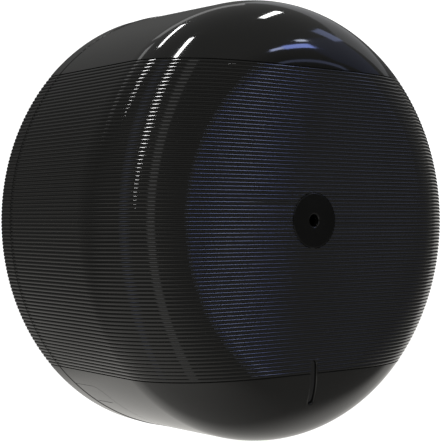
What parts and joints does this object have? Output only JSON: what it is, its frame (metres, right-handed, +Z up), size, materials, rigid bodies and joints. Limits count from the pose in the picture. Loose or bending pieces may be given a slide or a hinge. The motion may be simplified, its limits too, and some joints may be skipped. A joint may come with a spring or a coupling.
{
  "type": "toilet paper dispenser",
  "caption": "Round wall-mounted dispenser for centre-feed toilet paper: black drum cover with a ribbed band, hinged at the bottom, with a nozzle, a level window and a key lock.",
  "frame": {"origin": "centre of the wall face, on the axis of the drum", "axes": "+Z up, +Y into the wall, the front with the nozzle faces -Y, +X to the right seen from the front"},
  "size_m": [0.314, 0.1492, 0.314],
  "materials": {
    "shell_black": "high gloss, moulded-in black",
    "nozzle_black": "smooth, semi-gloss black",
    "smoked_lens": "polished, smoked",
    "inner_grey": "satin, dark grey",
    "bright_steel": "satin",
    "zinc": "zinc plated",
    "lock_chrome": "polished",
    "seal_rubber": "matte"
  },
  "bodies": {
    "base": {"back_plate": "shell_black", "hinge_skirt": "shell_black", "skirt_screws": "zinc", "hinge_pin": "bright_steel", "hinge_pin_clips": "bright_steel", "roll_cradle": "inner_grey", "cradle_screws": "zinc", "lock_strike": "bright_steel", "strike_screws": "zinc"},
    "cover": {"front_cover": "shell_black", "level_window": "smoked_lens", "cover_hinge_bracket": "inner_grey", "cover_hinge_screws": "zinc", "nozzle_collar": "inner_grey", "collar_screws": "zinc", "lock_housing": "inner_grey", "lock_housing_screws": "zinc"},
    "lock": {"lock_barrel": "lock_chrome", "lock_wave_washer": "bright_steel", "lock_cam": "bright_steel", "lock_cam_washer": "bright_steel", "lock_cam_screw": "zinc"},
    "nozzle": {"nozzle_cone": "nozzle_black", "nozzle_seal": "seal_rubber"}
  },
  "joints": [
    {"name": "cover_hinge", "type": "hinge", "parent": "base", "child": "cover", "pos_m": [0, -0.0429, -0.14869], "axis": [1, 0, 0], "range_deg": [0, 95]},
    {"name": "lock_turn", "type": "hinge", "parent": "cover", "child": "lock", "pos_m": [0, -0.03, 0.14], "axis": [0, 0, -1], "range_deg": [0, 90]},
    {"name": "nozzle_turn", "type": "hinge", "parent": "cover", "child": "nozzle", "pos_m": [0, -0.145, 0], "axis": [0, 1, 0], "range_deg": [0, 60]}
  ]
}
